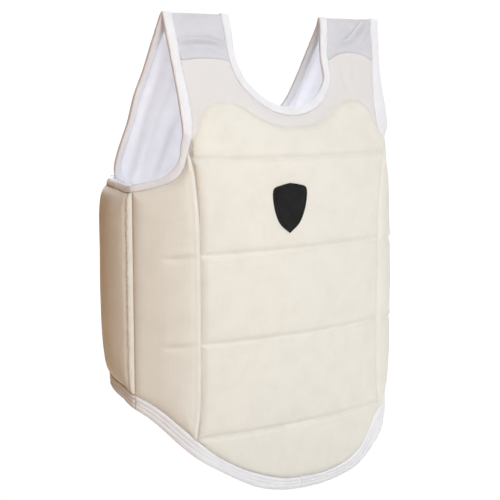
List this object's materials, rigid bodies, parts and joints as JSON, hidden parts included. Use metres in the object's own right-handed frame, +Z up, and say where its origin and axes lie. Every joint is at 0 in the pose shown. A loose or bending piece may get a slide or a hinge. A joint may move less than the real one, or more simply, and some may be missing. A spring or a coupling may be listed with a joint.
{
  "type": "chest protector",
  "caption": "Padded body protector vest: quilted front, folding side panels and wings, shoulder straps, back yoke and elastic bands that close it across the back.",
  "frame": {"origin": "on the floor plane of the front hem's lowest point, under the middle of the vest's width and depth", "axes": "+X to the wearer's left, +Y towards the wearer's back, +Z up to the shoulders"},
  "size_m": [0.4, 0.2222, 0.58],
  "materials": {
    "cover": "matte",
    "binding": "matte",
    "lining": "matte",
    "strap": "matte",
    "foam": "matte",
    "elastic": "matte",
    "loop": "matte",
    "hook_tape": "matte",
    "emblem": "matte"
  },
  "bodies": {
    "front": {"apron_pad": "foam", "belly_pad": "foam", "chest_emblem": "emblem", "chest_pad": "foam", "front_armhole_binding_left": "binding", "front_armhole_binding_right": "binding", "front_cover": "cover", "front_hem_binding": "binding", "front_lining": "lining", "neck_binding": "binding", "rib_pad": "foam", "shoulder_strap_left": "strap", "shoulder_strap_right": "strap", "upper_chest_pad": "foam"},
    "side_right": {"side_armhole_binding_right": "binding", "side_cover_right": "cover", "side_hem_binding_right": "binding", "side_lining_right": "lining", "side_pad_right": "foam"},
    "side_left": {"side_armhole_binding_left": "binding", "side_cover_left": "cover", "side_hem_binding_left": "binding", "side_lining_left": "lining", "side_pad_left": "foam"},
    "wing_right": {"lower_band_anchor_patch": "strap", "upper_band_anchor_patch": "strap", "wing_cover_right": "cover", "wing_end_binding_right": "binding", "wing_hem_binding_right": "binding", "wing_lining_right": "lining", "wing_pad_right": "foam", "wing_top_binding_right": "binding"},
    "wing_left": {"lower_loop_patch": "loop", "upper_loop_patch": "loop", "wing_cover_left": "cover", "wing_end_binding_left": "binding", "wing_hem_binding_left": "binding", "wing_lining_left": "lining", "wing_pad_left": "foam", "wing_top_binding_left": "binding"},
    "yoke": {"yoke_armhole_binding_left": "binding", "yoke_armhole_binding_right": "binding", "yoke_hem_binding": "binding", "yoke_neck_binding": "binding", "yoke_panel": "lining"},
    "upper_band": {"upper_elastic_band": "elastic"},
    "lower_band": {"lower_elastic_band": "elastic"},
    "upper_tab": {"upper_hook_tab": "hook_tape"},
    "lower_tab": {"lower_hook_tab": "hook_tape"}
  },
  "joints": [
    {"name": "side_fold_right", "type": "hinge", "parent": "front", "child": "side_right", "pos_m": [-0.1321, -0.0783, 0.25], "axis": [0, 0, 1], "range_deg": [0, 42]},
    {"name": "wing_fold_right", "type": "hinge", "parent": "side_right", "child": "wing_right", "pos_m": [-0.1809, -0.024, 0.25], "axis": [0, 0, 1], "range_deg": [0, 45]},
    {"name": "side_fold_left", "type": "hinge", "parent": "front", "child": "side_left", "pos_m": [0.1321, -0.0783, 0.25], "axis": [0, 0, -1], "range_deg": [0, 42]},
    {"name": "wing_fold_left", "type": "hinge", "parent": "side_left", "child": "wing_left", "pos_m": [0.1809, -0.024, 0.25], "axis": [0, 0, -1], "range_deg": [0, 45]},
    {"name": "yoke_lift", "type": "hinge", "parent": "front", "child": "yoke", "pos_m": [0, -0.0455, 0.58], "axis": [1, 0, 0], "range_deg": [0, 105]},
    {"name": "upper_band_swing", "type": "hinge", "parent": "wing_right", "child": "upper_band", "pos_m": [-0.148, 0.1099, 0.285], "axis": [0, 0, 1], "range_deg": [0, 100]},
    {"name": "upper_tab_peel", "type": "hinge", "parent": "wing_left", "child": "upper_tab", "pos_m": [0.134, 0.1099, 0.285], "axis": [0, 0, 1], "range_deg": [0, 80]},
    {"name": "lower_band_swing", "type": "hinge", "parent": "wing_right", "child": "lower_band", "pos_m": [-0.148, 0.1099, 0.185], "axis": [0, 0, 1], "range_deg": [0, 100]},
    {"name": "lower_tab_peel", "type": "hinge", "parent": "wing_left", "child": "lower_tab", "pos_m": [0.134, 0.1099, 0.185], "axis": [0, 0, 1], "range_deg": [0, 80]}
  ]
}
